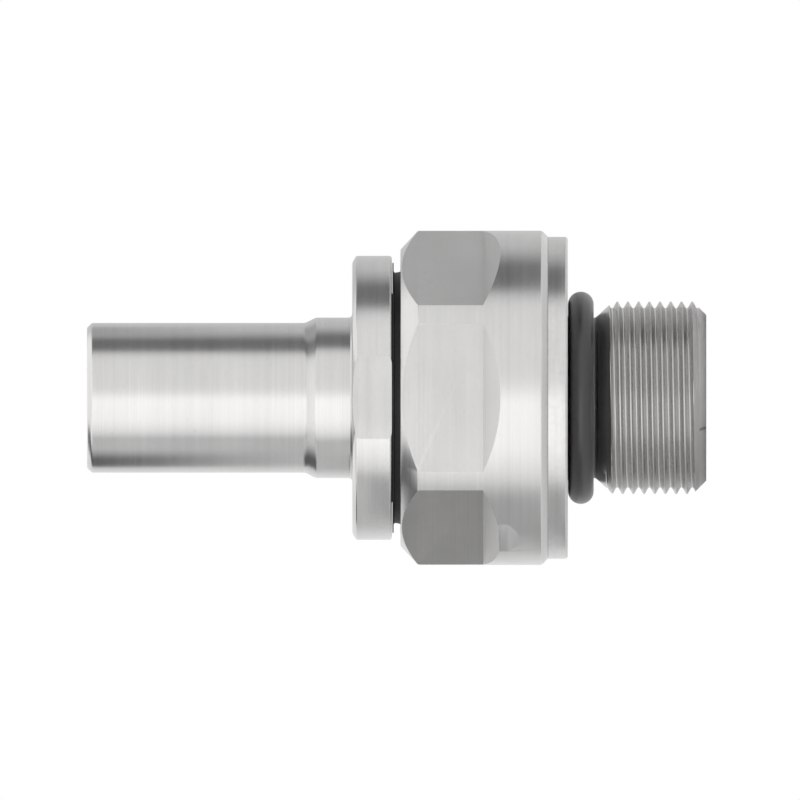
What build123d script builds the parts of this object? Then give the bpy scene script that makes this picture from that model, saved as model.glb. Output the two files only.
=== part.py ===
from build123d import *
import os

# Straight swivel coupling, standing on its threaded end.
# Z is the axis of rotation, and Z = 0 is the free end of the thread.
# Lengths are millimetres, angles are degrees.

os.makedirs("parts", exist_ok=True)

# Flow path and tube end
bore_diameter = 20.0
tube_wall = 4.0
tube_length = 40.8
tube_chamfer = 0.9
tube_mouth_chamfer = 0.3
tube_cone_length = 2.0
collar_step = 1.0
collar_length = 6.8

# Flange
flange_overhang = 1.3
flange_thickness = 7.4
flange_chamfer_width = 1.3
flange_chamfer_height = 0.75
flange_edge_chamfer = 0.3
flange_fillet = 0.8
flange_flat_count = 2
flange_flat_depth = 1.14

# Hexagonal housing, turned from bar
hex_wall = 4.5
hex_corner_height = 3.25
flat_count = 6
first_flat_angle = 30.0
front_face_inset = 0.3
front_chamfer_height = 3.3
flat_length = 15.45
rear_chamfer = 1.15
lip_thickness = 4.2
lip_bore_gap = 0.6

# Dust seal
dust_seal_width = 2.9
dust_seal_inner_gap = 0.7
dust_seal_depth = 1.5
dust_seal_flare = 1.65
dust_seal_lip_thickness = 0.25
dust_seal_lip_length = 1.9
dust_seal_groove_depth = 0.9
running_gap = 1.6
dust_seal_running_clearance = 0.1

# Threaded stud
thread_diameter = 36.0
thread_length = 18.2
thread_end_chamfer = 2.5
port_mouth_chamfer = 0.4
thread_run_out = 0.7
neck_relief = 3.0
neck_cone_length = 2.5
neck_length = 5.2
register_height = 3.7
register_chamfer = 0.35
sleeve_step = 2.0
sleeve_lead_chamfer = 0.5
clamp_width = 1.5
seal_hub_floor_thickness = 1.1
port_o_ring_section = 4.85

# Bearing
bearing_section = 6.0
bearing_width = 7.0
ball_diameter = 4.0
ball_count = 10
ring_shoulder_height = 2.0
ring_chamfer = 0.4
cage_width = 5.6

# Rotor journal, nut and washer
nose_wall = 4.0
nose_chamfer = 1.0
nut_thread_step = 2.5
journal_step = 1.0
shaft_shoulder = 1.9
nut_thread_overhang = 0.3
nut_wall = 4.0
nut_height = 3.5
nut_slot_width = 4.0
nut_slot_depth = 1.2
nut_slot_count = 4
nut_chamfer = 0.4
washer_width = 2.9
washer_thickness = 1.0
keyway_width = 3.2
keyway_depth = 1.2
washer_tab_length = 2.4
washer_tab_thickness = 0.8
washer_tab_root = 1.0

# Seals round the rotor's nose
guide_ring_thickness = 1.5
guide_ring_width = 2.0
nose_end_land = 0.8
seal_land = 1.1
hub_top_land = 2.9
hub_lead_chamfer = 0.8
seal_ring_thickness = 1.0
seal_ring_width = 2.0
energiser_section = 1.7
energiser_width = 1.8
housing_o_ring_section = 1.6
housing_o_ring_width = 1.75
housing_o_ring_land = 1.5

# Share of a squeezed ring's section that its rounded corners take
squeezed_corner_share = 0.28

# Notch staked into the housing, which locks it on the sleeve
stake_angle = 212.0
stake_height = 5.3
stake_depth = 0.6
stake_land = 1.8
stake_slope = 2.2
stake_tool_radius = 50.0

# Clearances
bearing_fit = 0.02
stud_fit = 0.05
ball_clearance = 0.06
ball_groove_conformity = 1.04
cage_clearance = 0.3
cage_pocket_clearance = 0.15
clamp_clearance = 0.4
nose_end_clearance = 0.6
nose_clearance = 0.3
hub_clearance = 0.5
ring_running_clearance = 0.04
ring_groove_clearance = 0.1
o_ring_clearance = 0.02
o_ring_groove_play = 0.6
nut_thread_fit = 0.05
washer_clearance = 0.1
dust_seal_fit = 0.05

# Travel of the milling cutters past the bar
cutter_overrun = 2.0

# How closely an edge's radius and height must agree when it is picked for a fillet
edge_pick_tolerance = 0.01

# Heights of the stud and of the rings in its hub, from the thread's end upwards
port_face_z = thread_length + neck_cone_length + neck_length
housing_z = port_face_z + register_height
pocket_floor_z = port_face_z + seal_hub_floor_thickness
nose_z = pocket_floor_z + nose_end_clearance
guide_groove_width = guide_ring_width + ring_groove_clearance
seal_groove_width = seal_ring_width + ring_groove_clearance
lower_guide_groove_z = pocket_floor_z + nose_end_land
seal_groove_z = lower_guide_groove_z + guide_groove_width + seal_land
upper_guide_groove_z = seal_groove_z + seal_groove_width + seal_land
hub_top_z = upper_guide_groove_z + guide_groove_width + hub_top_land

# Heights of the nut, the bearing and the housing above the hub
nut_thread_z = hub_top_z + hub_clearance
nut_z = nut_thread_z + nut_thread_overhang
nut_top_z = nut_z + nut_height
bearing_z = nut_top_z + washer_thickness
bearing_top_z = bearing_z + bearing_width
seal_seat_z = bearing_top_z + lip_thickness
housing_top_z = seal_seat_z + dust_seal_depth
flat_z = housing_top_z - flat_length

# Heights of the flange and the tube end
flange_z = housing_top_z + running_gap
collar_z = flange_z + flange_thickness
cone_z = collar_z + collar_length
tube_z = cone_z + tube_cone_length
tube_end_z = tube_z + tube_length

# Radii of the rotor, from the bore outwards
bore_radius = bore_diameter / 2
tube_radius = bore_radius + tube_wall
collar_radius = tube_radius + collar_step
nose_radius = bore_radius + nose_wall
nut_thread_radius = nose_radius + nut_thread_step
nut_outer_radius = nut_thread_radius + nut_wall
washer_radius = nut_thread_radius + washer_width
bearing_bore_radius = nut_thread_radius + journal_step
shaft_radius = bearing_bore_radius + shaft_shoulder

# Radii of the housing, from the bearings outwards
bearing_outer_radius = bearing_bore_radius + bearing_section
lip_bore_radius = shaft_radius + lip_bore_gap
sleeve_radius = bearing_outer_radius + sleeve_step
sleeve_bore_radius = bearing_outer_radius - clamp_width
flat_radius = bearing_outer_radius + hex_wall
bar_radius = flat_radius + hex_corner_height
front_face_radius = flat_radius - front_face_inset
register_radius = bar_radius - rear_chamfer
hub_bore_radius = nose_radius + nose_clearance

# Radii of the dust seal and the flange that covers it
dust_seal_inner_radius = lip_bore_radius + dust_seal_inner_gap
dust_seal_radius = dust_seal_inner_radius + dust_seal_width
dust_seal_lip_radius = dust_seal_radius + dust_seal_flare
flange_radius = dust_seal_lip_radius + flange_overhang

# Radii of the port thread
thread_radius = thread_diameter / 2
neck_radius = thread_radius - neck_relief

# Radii inside the bearing
ball_radius = ball_diameter / 2
pitch_radius = (bearing_bore_radius + bearing_outer_radius) / 2
groove_section_radius = ball_radius * ball_groove_conformity
groove_offset = ball_radius + ball_clearance - groove_section_radius
inner_shoulder_radius = bearing_bore_radius + ring_shoulder_height
outer_shoulder_radius = bearing_outer_radius - ring_shoulder_height

# Radii of the rings round the rotor's nose and of their grooves
guide_ring_inner_radius = nose_radius + ring_running_clearance
guide_ring_outer_radius = guide_ring_inner_radius + guide_ring_thickness
guide_groove_radius = guide_ring_outer_radius + o_ring_clearance
seal_ring_inner_radius = nose_radius + ring_running_clearance
seal_ring_outer_radius = seal_ring_inner_radius + seal_ring_thickness
energiser_inner_radius = seal_ring_outer_radius + o_ring_clearance
energiser_outer_radius = energiser_inner_radius + energiser_section
seal_groove_radius = energiser_outer_radius + o_ring_clearance

# Static ring between the sleeve and the housing
housing_bore_radius = sleeve_radius + stud_fit
housing_groove_z = housing_z + housing_o_ring_land
housing_groove_width = housing_o_ring_width + o_ring_groove_play
housing_o_ring_outer_radius = housing_bore_radius - o_ring_clearance
housing_o_ring_inner_radius = housing_o_ring_outer_radius - housing_o_ring_section
housing_groove_radius = housing_o_ring_inner_radius - o_ring_clearance

parts = {}


def turned(*points):
    """Solid turned about Z from its half section, a list of (radius, height)."""
    outline = Polyline(*[(radius, 0, height) for radius, height in points], close=True)
    return revolve(make_face(outline), Axis.Z)


def ring(inner_radius, outer_radius, low, high):
    """Plain ring between two radii and two heights."""
    return turned((inner_radius, low), (outer_radius, low), (outer_radius, high), (inner_radius, high))


def o_ring(centre_radius, section_diameter, height):
    """Round-section ring about Z."""
    return Pos(0, 0, height) * Torus(centre_radius, section_diameter / 2)


def squeezed_ring(inner_radius, outer_radius, width, middle):
    """Elastic ring squeezed flat between its groove and its counterface, with rounded-off corners."""
    corner = (outer_radius - inner_radius) * squeezed_corner_share
    low = middle - width / 2
    high = middle + width / 2
    return turned(
        (inner_radius + corner, low),
        (outer_radius - corner, low),
        (outer_radius, low + corner),
        (outer_radius, high - corner),
        (outer_radius - corner, high),
        (inner_radius + corner, high),
        (inner_radius, high - corner),
        (inner_radius, low + corner),
    )


def flange_flat_cutter():
    """Block that mills one spanner flat across the flange."""
    return Pos(0, flange_flat_depth - flange_radius, flange_z - cutter_overrun) * Box(
        2 * flange_radius,
        flange_flat_depth + cutter_overrun,
        flange_thickness + 2 * cutter_overrun,
        align=(Align.CENTER, Align.MAX, Align.MIN),
    )


def rotor_stem():
    """Tube stub, collar, flange, bearing journal, nut thread and seal nose in one turned piece."""
    body = turned(
        (bore_radius, nose_z),
        (nose_radius - nose_chamfer, nose_z),
        (nose_radius, nose_z + nose_chamfer),
        (nose_radius, nut_thread_z),
        (nut_thread_radius, nut_thread_z),
        (nut_thread_radius, bearing_z + ring_chamfer),
        (bearing_bore_radius, bearing_z + ring_chamfer),
        (bearing_bore_radius, bearing_top_z),
        (shaft_radius, bearing_top_z),
        (shaft_radius, flange_z),
        (flange_radius - flange_edge_chamfer, flange_z),
        (flange_radius, flange_z + flange_edge_chamfer),
        (flange_radius, collar_z - flange_chamfer_height),
        (flange_radius - flange_chamfer_width, collar_z),
        (collar_radius, collar_z),
        (collar_radius, cone_z),
        (tube_radius, tube_z),
        (tube_radius, tube_end_z - tube_chamfer),
        (tube_radius - tube_chamfer, tube_end_z),
        (bore_radius + tube_mouth_chamfer, tube_end_z),
        (bore_radius, tube_end_z - tube_mouth_chamfer),
    )
    corner = body.edges().filter_by(GeomType.CIRCLE).filter_by(
        lambda edge: abs(edge.radius - collar_radius) < edge_pick_tolerance
        and abs(edge.center().Z - collar_z) < edge_pick_tolerance
    )
    body = fillet(corner, flange_fillet)
    for side in range(flange_flat_count):
        body -= Rot(0, 0, 360 / flange_flat_count * side) * flange_flat_cutter()
    keyway_floor = nut_thread_radius - keyway_depth
    keyway_height = bearing_z + ring_chamfer - nut_thread_z
    keyway = Pos(keyway_floor, 0, nut_thread_z) * Box(
        keyway_depth + cutter_overrun,
        keyway_width,
        keyway_height,
        align=(Align.MIN, Align.CENTER, Align.MIN),
    )
    return body - keyway


def hex_housing():
    """Housing turned from round bar, with six milled flats and the bearing bore."""
    body = turned(
        (housing_bore_radius, housing_z),
        (bar_radius - rear_chamfer, housing_z),
        (bar_radius, housing_z + rear_chamfer),
        (bar_radius, housing_top_z - front_chamfer_height),
        (front_face_radius, housing_top_z),
        (dust_seal_radius + dust_seal_fit, housing_top_z),
        (dust_seal_radius + dust_seal_fit, seal_seat_z),
        (lip_bore_radius, seal_seat_z),
        (lip_bore_radius, bearing_top_z),
        (bearing_outer_radius + bearing_fit, bearing_top_z),
        (bearing_outer_radius + bearing_fit, bearing_z + clamp_clearance),
        (housing_bore_radius, bearing_z + clamp_clearance),
    )
    for side in range(flat_count):
        body -= Rot(0, 0, first_flat_angle + 360 / flat_count * side) * flat_cutter()
    return body - stake_tool()


def flat_cutter():
    """Milling cut for one flat, with its 45 degree run-out towards the thread."""
    run_out = bar_radius - flat_radius + cutter_overrun
    outline = Polyline(
        (flat_radius, 0, housing_top_z + cutter_overrun),
        (flat_radius, 0, flat_z),
        (flat_radius + run_out, 0, flat_z - run_out),
        (flat_radius + run_out, 0, housing_top_z + cutter_overrun),
        close=True,
    )
    return extrude(make_face(outline), bar_radius, both=True)


def stake_tool():
    """Rim of the staking tool: it presses a notch that is steep on one side and slopes on the other."""
    low_z = housing_z + stake_height
    rim = turned(
        (0, low_z),
        (stake_tool_radius - stake_depth, low_z),
        (stake_tool_radius, low_z + stake_slope),
        (stake_tool_radius, low_z + stake_slope + stake_land),
        (0, low_z + stake_slope + stake_land),
    )
    reach = bar_radius - stake_depth + stake_tool_radius
    return Rot(0, 0, stake_angle) * Pos(reach, 0, 0) * rim


def threaded_stud():
    """Port thread, neck and register ring, with the seal hub and the sleeve inside the housing."""
    body = turned(
        (bore_radius, port_mouth_chamfer),
        (bore_radius + port_mouth_chamfer, 0),
        (thread_radius - thread_end_chamfer, 0),
        (thread_radius, thread_end_chamfer),
        (thread_radius, thread_length - thread_run_out),
        (thread_radius - thread_run_out, thread_length),
        (neck_radius, thread_length + neck_cone_length),
        (neck_radius, port_face_z),
        (register_radius - register_chamfer, port_face_z),
        (register_radius, port_face_z + register_chamfer),
        (register_radius, housing_z),
        (sleeve_radius, housing_z),
        (sleeve_radius, bearing_z - sleeve_lead_chamfer),
        (sleeve_radius - sleeve_lead_chamfer, bearing_z),
        (sleeve_bore_radius, bearing_z),
        (sleeve_bore_radius, hub_top_z),
        (hub_bore_radius + hub_lead_chamfer, hub_top_z),
        (hub_bore_radius, hub_top_z - hub_lead_chamfer),
        (hub_bore_radius, pocket_floor_z),
        (bore_radius, pocket_floor_z),
    )
    for low in (lower_guide_groove_z, upper_guide_groove_z):
        body -= ring(nose_radius, guide_groove_radius, low, low + guide_groove_width)
    body -= ring(nose_radius, seal_groove_radius, seal_groove_z, seal_groove_z + seal_groove_width)
    body -= ring(
        housing_groove_radius,
        sleeve_radius + stud_fit,
        housing_groove_z,
        housing_groove_z + housing_groove_width,
    )
    return body


def dust_seal():
    """Wiping seal in the housing's top face, with a thin lip that flares towards the flange."""
    lip_top_z = flange_z - dust_seal_running_clearance
    lip_low_z = lip_top_z - dust_seal_lip_thickness
    lip_root_radius = dust_seal_lip_radius - dust_seal_lip_length
    return turned(
        (dust_seal_inner_radius, seal_seat_z),
        (dust_seal_radius, seal_seat_z),
        (dust_seal_radius, housing_top_z),
        (lip_root_radius + dust_seal_fit, lip_low_z - dust_seal_lip_thickness),
        (lip_root_radius + dust_seal_lip_thickness, lip_low_z),
        (dust_seal_lip_radius, lip_low_z),
        (dust_seal_lip_radius, lip_top_z),
        (lip_root_radius - dust_seal_groove_depth, lip_top_z),
        (dust_seal_inner_radius, lip_top_z - dust_seal_groove_depth),
    )


def port_o_ring():
    """Sealing ring on the neck, under the register ring."""
    section_radius = port_o_ring_section / 2
    return o_ring(
        neck_radius + o_ring_clearance + section_radius,
        port_o_ring_section,
        port_face_z - o_ring_clearance - section_radius,
    )


def housing_o_ring():
    """Static sealing ring in the sleeve's outer groove."""
    middle = housing_groove_z + housing_groove_width / 2
    return squeezed_ring(
        housing_o_ring_inner_radius, housing_o_ring_outer_radius, housing_o_ring_width, middle
    )


def guide_ring(groove_z):
    """Plain ring that guides the rotor's nose in the hub."""
    low = groove_z + ring_groove_clearance / 2
    return ring(guide_ring_inner_radius, guide_ring_outer_radius, low, low + guide_ring_width)


def seal_ring():
    """Slipper seal that runs on the rotor's nose."""
    low = seal_groove_z + ring_groove_clearance / 2
    return ring(seal_ring_inner_radius, seal_ring_outer_radius, low, low + seal_ring_width)


def energiser_ring():
    """Elastic ring that presses the slipper seal onto the nose."""
    middle = seal_groove_z + seal_groove_width / 2
    return squeezed_ring(energiser_inner_radius, energiser_outer_radius, energiser_width, middle)


def bearing_inner_ring():
    """Inner ring of the ball bearing, with its race groove."""
    low = bearing_z
    high = bearing_top_z
    body = turned(
        (bearing_bore_radius + bearing_fit, low + ring_chamfer),
        (bearing_bore_radius + bearing_fit + ring_chamfer, low),
        (inner_shoulder_radius, low),
        (inner_shoulder_radius, high),
        (bearing_bore_radius + bearing_fit + ring_chamfer, high),
        (bearing_bore_radius + bearing_fit, high - ring_chamfer),
    )
    race = o_ring(pitch_radius - groove_offset, groove_section_radius * 2, low + bearing_width / 2)
    return body - race


def bearing_outer_ring():
    """Outer ring of the ball bearing, with its race groove."""
    low = bearing_z
    high = bearing_top_z
    body = turned(
        (outer_shoulder_radius, low),
        (bearing_outer_radius - ring_chamfer, low),
        (bearing_outer_radius, low + ring_chamfer),
        (bearing_outer_radius, high - ring_chamfer),
        (bearing_outer_radius - ring_chamfer, high),
        (outer_shoulder_radius, high),
    )
    race = o_ring(pitch_radius + groove_offset, groove_section_radius * 2, low + bearing_width / 2)
    return body - race


def bearing_cage():
    """Cage with one round pocket for each ball."""
    middle = bearing_z + bearing_width / 2
    body = ring(
        inner_shoulder_radius + cage_clearance,
        outer_shoulder_radius - cage_clearance,
        middle - cage_width / 2,
        middle + cage_width / 2,
    )
    pocket = Cylinder(
        ball_radius + cage_pocket_clearance,
        bearing_outer_radius,
        rotation=(0, 90, 0),
        align=(Align.CENTER, Align.CENTER, Align.MIN),
    )
    for index in range(ball_count):
        body -= Pos(0, 0, middle) * Rot(0, 0, 360 / ball_count * index) * pocket
    return body


def ball(index):
    """One ball at its place on the pitch circle."""
    place = Rot(0, 0, 360 / ball_count * index) * Pos(pitch_radius, 0, bearing_z + bearing_width / 2)
    return place * Sphere(ball_radius)


def bearing_nut():
    """Slotted nut that holds the bearing's inner ring on the journal."""
    inner_radius = nut_thread_radius + nut_thread_fit
    body = turned(
        (inner_radius, nut_z),
        (nut_outer_radius - nut_chamfer, nut_z),
        (nut_outer_radius, nut_z + nut_chamfer),
        (nut_outer_radius, nut_top_z),
        (inner_radius, nut_top_z),
    )
    slot = Pos(nut_outer_radius - nut_slot_depth, 0, nut_z) * Box(
        nut_slot_depth + cutter_overrun,
        nut_slot_width,
        nut_height,
        align=(Align.MIN, Align.CENTER, Align.MIN),
    )
    for index in range(nut_slot_count):
        body -= Rot(0, 0, 360 / nut_slot_count * index) * slot
    return body


def tab_washer():
    """Washer with one tab in the keyway and one bent into a slot of the nut."""
    inner_radius = nut_thread_radius + washer_clearance
    tab_low_radius = nut_outer_radius - nut_slot_depth + washer_clearance
    tab_width = nut_slot_width - washer_clearance * 2
    body = ring(inner_radius, washer_radius, nut_top_z, bearing_z)
    key_radius = nut_thread_radius - keyway_depth + washer_clearance
    key = Pos(key_radius, 0, nut_top_z) * Box(
        inner_radius + washer_tab_root - key_radius,
        keyway_width - washer_clearance * 2,
        washer_thickness,
        align=(Align.MIN, Align.CENTER, Align.MIN),
    )
    arm = Pos(washer_radius - washer_tab_root, 0, nut_top_z) * Box(
        tab_low_radius + washer_tab_thickness - washer_radius + washer_tab_root,
        tab_width,
        washer_thickness,
        align=(Align.MIN, Align.CENTER, Align.MIN),
    )
    tab = Pos(tab_low_radius, 0, bearing_z - washer_tab_length) * Box(
        washer_tab_thickness,
        tab_width,
        washer_tab_length,
        align=(Align.MIN, Align.CENTER, Align.MIN),
    )
    return body + key + arm + tab


parts["rotor_stem"] = rotor_stem()
parts["hex_housing"] = hex_housing()
parts["threaded_stud"] = threaded_stud()
parts["dust_seal"] = dust_seal()
parts["port_o_ring"] = port_o_ring()
parts["housing_o_ring"] = housing_o_ring()
parts["lower_guide_ring"] = guide_ring(lower_guide_groove_z)
parts["upper_guide_ring"] = guide_ring(upper_guide_groove_z)
parts["seal_ring"] = seal_ring()
parts["energiser_ring"] = energiser_ring()
parts["bearing_nut"] = bearing_nut()
parts["tab_washer"] = tab_washer()
parts["bearing_inner_ring"] = bearing_inner_ring()
parts["bearing_outer_ring"] = bearing_outer_ring()
parts["bearing_cage"] = bearing_cage()
for ball_index in range(ball_count):
    parts[f"ball_{ball_index + 1:02d}"] = ball(ball_index)

for node_name, solid in parts.items():
    export_step(solid, f"parts/{node_name}.step")
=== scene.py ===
"""Looks of a straight swivel coupling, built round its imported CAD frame.

Lengths of pieces are in millimetres, noise scales in parts per metre.
"""

from __future__ import annotations

import logging
import math
from dataclasses import dataclass, field
from enum import Enum, IntEnum
from typing import Iterable, Sequence

import bpy
from mathutils import Matrix, Vector


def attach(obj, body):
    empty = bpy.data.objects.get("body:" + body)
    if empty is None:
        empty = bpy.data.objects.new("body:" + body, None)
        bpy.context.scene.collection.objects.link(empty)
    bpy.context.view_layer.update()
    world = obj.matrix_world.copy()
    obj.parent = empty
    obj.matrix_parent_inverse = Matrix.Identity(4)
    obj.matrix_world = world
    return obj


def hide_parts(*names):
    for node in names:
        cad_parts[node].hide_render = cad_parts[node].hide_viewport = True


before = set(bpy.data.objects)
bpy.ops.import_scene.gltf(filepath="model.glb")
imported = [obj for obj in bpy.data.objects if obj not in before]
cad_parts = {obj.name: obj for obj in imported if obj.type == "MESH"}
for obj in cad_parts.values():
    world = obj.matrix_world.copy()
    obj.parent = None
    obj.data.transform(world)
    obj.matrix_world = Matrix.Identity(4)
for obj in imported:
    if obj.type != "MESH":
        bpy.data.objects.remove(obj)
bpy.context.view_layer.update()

log = logging.getLogger("swivel_coupling")

MM = 0.001
SEAM = 0.004 * MM
WEAR = "wear"
GLOW = "glow"
PARALLEL = 0.9999
NOISE_LOW, NOISE_HIGH = 0.3, 0.7
MIX_FIRST, MIX_SECOND, MIX_RESULT = 6, 7, 2

Point = tuple[float, float]
Corner = tuple[float, float, float]
Colour = tuple[float, float, float]


class Marks(Enum):
    """The tool marks that a machined surface carries."""

    TURNED = "turned"
    MILLED = "milled"


class Face(IntEnum):
    """Material slots of the housing."""

    TURNED = 0
    FLAT = 1
    # The lower flat: coarser tool lines, and a darker colour that is painted shade.
    COARSE_PAINTED_SHADE_FLAT = 2
    RUN_OUT = 3


@dataclass(frozen=True)
class Patches:
    """A noise, and the range of its values that becomes a mask."""

    scale: float
    detail: float
    low: float = NOISE_LOW
    high: float = NOISE_HIGH


# Mesh tools


def clear_selection() -> None:
    """Leave edit mode and deselect every object."""
    if bpy.context.object is not None and bpy.context.object.mode != "OBJECT":
        bpy.ops.object.mode_set(mode="OBJECT")
    bpy.ops.object.select_all(action="DESELECT")


def take(piece: bpy.types.Object) -> None:
    """Make one object the only selected one and the active one.

    Args:
        piece: The object to work on.
    """
    clear_selection()
    piece.select_set(True)
    bpy.context.view_layer.objects.active = piece


def name_piece(name: str) -> bpy.types.Object:
    """Name the object that a primitive operator has just added, and its mesh.

    Args:
        name: The plain name of the piece.

    Returns:
        The named object.
    """
    piece = bpy.context.object
    piece.name = name
    piece.data.name = name
    return piece


def settle(piece: bpy.types.Object) -> None:
    """Put a piece's place into its mesh, so that its object sits at the origin, unturned and unscaled."""
    take(piece)
    bpy.ops.object.transform_apply(location=True, rotation=True, scale=True)


def start_chain(name: str, points: Sequence[Point]) -> bpy.types.Object:
    """Draw a half section as a chain of edges in the XZ plane, vertex after vertex.

    Args:
        name: The name of the new object.
        points: Radius and height of each vertex, in millimetres.

    Returns:
        The new object, left in edit mode with its last vertex selected.
    """
    clear_selection()
    radius, height = points[0]
    bpy.ops.mesh.primitive_plane_add(size=MM, enter_editmode=True, location=(0, 0, 0))
    piece = name_piece(name)
    bpy.ops.mesh.select_mode(type="VERT")
    bpy.ops.mesh.select_all(action="SELECT")
    bpy.ops.mesh.merge(type="CENTER")
    bpy.ops.transform.translate(value=(radius * MM, 0, height * MM))
    for (old_r, old_z), (new_r, new_z) in zip(points, points[1:]):
        step = ((new_r - old_r) * MM, 0, (new_z - old_z) * MM)
        bpy.ops.mesh.extrude_region_move(TRANSFORM_OT_translate={"value": step})
    return piece


def close_shell() -> None:
    """Merge the doubles of the mesh in edit mode and turn all its faces outwards."""
    bpy.ops.mesh.select_all(action="SELECT")
    bpy.ops.mesh.remove_doubles(threshold=SEAM)
    bpy.ops.mesh.dissolve_degenerate(threshold=SEAM)
    bpy.ops.mesh.normals_make_consistent(inside=False)


def turn_solid(name: str, points: Sequence[Point], steps: int) -> bpy.types.Object:
    """Turn a closed half section about Z into a solid.

    Args:
        name: The name of the new piece.
        points: Radius and height of the section's corners, in millimetres.
        steps: How many faces go round.

    Returns:
        The closed piece.
    """
    piece = start_chain(name, [*points, points[0]])
    bpy.ops.mesh.select_all(action="SELECT")
    bpy.ops.mesh.spin(steps=steps, angle=2 * math.pi, center=(0, 0, 0), axis=(0, 0, 1))
    close_shell()
    bpy.ops.object.mode_set(mode="OBJECT")
    return piece


def eased(corners: Iterable[Corner], closed: bool = True, pieces: int = 3) -> list[Point]:
    """Round the corners of a half section.

    Args:
        corners: Radius, height and edge round of each corner, in millimetres.
        closed: Whether the section closes on itself.
        pieces: How many straight pieces make one round.

    Returns:
        The finer section.
    """
    listed = list(corners)
    made: list[Point] = []
    last = len(listed) - 1
    for index, (radius, height, size) in enumerate(listed):
        at = Vector((radius, height))
        if size <= 0 or (not closed and index in (0, last)):
            made.append((radius, height))
            continue
        before = Vector(listed[index - 1][:2]) - at
        after = Vector(listed[(index + 1) % len(listed)][:2]) - at
        reach = min(size, before.length * 0.45, after.length * 0.45)
        start, end = at + before.normalized() * reach, at + after.normalized() * reach
        for part in range(pieces + 1):
            share = part / pieces
            spot = start.lerp(at, share).lerp(at.lerp(end, share), share)
            made.append((spot.x, spot.y))
    return made


def mark_wear(piece: bpy.types.Object, corners: Iterable[Corner], reach: float = 0.3) -> None:
    """Store on each vertex how close it is to an outer edge, for the worn edges of its material.

    Args:
        piece: The finished mesh.
        corners: The corners of its half section.
        reach: How far the wear runs from an edge, in millimetres.
    """
    values = piece.data.attributes.new(WEAR, "FLOAT", "POINT").data
    edges = [(radius, height) for radius, height, size in corners if size > 0]
    known: dict[tuple[int, int], float] = {}
    for vertex, value in zip(piece.data.vertices, values):
        radius = math.hypot(vertex.co.x, vertex.co.y) / MM
        height = vertex.co.z / MM
        key = (round(radius * 50), round(height * 50))
        if key not in known:
            near = min(math.hypot(radius - r, height - h) for r, h in edges)
            known[key] = max(0.0, 1 - near / reach)
        value.value = known[key]


def smooth(piece: bpy.types.Object, degrees: float) -> None:
    """Shade a piece smoothly across edges flatter than an angle."""
    take(piece)
    bpy.ops.object.shade_smooth_by_angle(angle=math.radians(degrees))


def cut_away(piece: bpy.types.Object, tool: bpy.types.Object) -> None:
    """Subtract one closed object from another, and remove the tool.

    Args:
        piece: The object that stays.
        tool: The object that is taken away.
    """
    take(piece)
    bpy.ops.object.modifier_add(type="BOOLEAN")
    cut = piece.modifiers[-1]
    cut.operation = "DIFFERENCE"
    cut.solver = "EXACT"
    cut.object = tool
    bpy.ops.object.modifier_apply(modifier=cut.name)
    bpy.data.objects.remove(tool)


def block(name: str, low: Vector, high: Vector) -> bpy.types.Object:
    """Add a rectangular tool between two corners.

    Args:
        name: The name of the tool.
        low: Its lowest corner, in millimetres.
        high: Its highest corner, in millimetres.

    Returns:
        The tool, with its size and place in its mesh.
    """
    clear_selection()
    bpy.ops.mesh.primitive_cube_add(size=1, location=(low + high) / 2 * MM)
    tool = name_piece(name)
    tool.scale = (high - low) * MM
    settle(tool)
    return tool


def ramp(value: float, start: float, end: float) -> float:
    """Rise from 0 at one value to 1 at another, and stay there."""
    return min(1.0, max(0.0, (value - start) / (end - start)))


def between(value: float, ends: tuple[Point, Point]) -> float:
    """Be 1 between two ramps and 0 outside them."""
    first, second = ends
    return ramp(value, *first) * ramp(value, *second)


# Node tools


@dataclass
class Graph:
    """A small helper that adds and links shader nodes in one tree."""

    tree: bpy.types.NodeTree

    def add(self, kind: str, **settings: object) -> bpy.types.Node:
        """Add one node and set its properties.

        Args:
            kind: The node's type, without the ShaderNode prefix.
            **settings: Properties of the node.

        Returns:
            The new node.
        """
        node = self.tree.nodes.new(kind if kind.startswith("Node") else "ShaderNode" + kind)
        for key, value in settings.items():
            setattr(node, key, value)
        return node

    def put(self, node: bpy.types.Node, name: str | int, value: object) -> None:
        """Link a socket, or write a number or colour, into a node's input."""
        if isinstance(value, bpy.types.NodeSocket):
            self.tree.links.new(value, node.inputs[name])
        else:
            node.inputs[name].default_value = value

    def math(self, operation: str, *values: object) -> bpy.types.NodeSocket:
        """Add a Math node on up to three values and return its result."""
        node = self.add("Math", operation=operation)
        for index, value in enumerate(values):
            self.put(node, index, value)
        return node.outputs[0]

    def span(
        self, value: object, from_low: float, from_high: float, low: float, high: float
    ) -> bpy.types.NodeSocket:
        """Map one range to another, clamped, and return the result."""
        node = self.add("MapRange")
        for index, number in enumerate((value, from_low, from_high, low, high)):
            self.put(node, index, number)
        return node.outputs[0]

    def noise(self, vector: object, scale: float, detail: float = 2.0) -> bpy.types.NodeSocket:
        """Add a three-dimensional noise and return its value."""
        node = self.add("TexNoise", noise_dimensions="3D")
        self.put(node, "Vector", vector)
        self.put(node, "Scale", scale)
        self.put(node, "Detail", detail)
        return node.outputs[0]

    def patches(
        self, vector: object, patches: Patches, low: float = 0.0, high: float = 1.0
    ) -> bpy.types.NodeSocket:
        """Add a noise, map the range of its patches, and return the mask."""
        noise = self.noise(vector, patches.scale, patches.detail)
        return self.span(noise, patches.low, patches.high, low, high)

    def group(self, tree: bpy.types.NodeTree, **values: object) -> bpy.types.Node:
        """Place a node group and set its inputs, given by name with underscores for spaces."""
        node = self.add("Group", node_tree=tree)
        for key, value in values.items():
            self.put(node, key.replace("_", " "), value)
        return node


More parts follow.
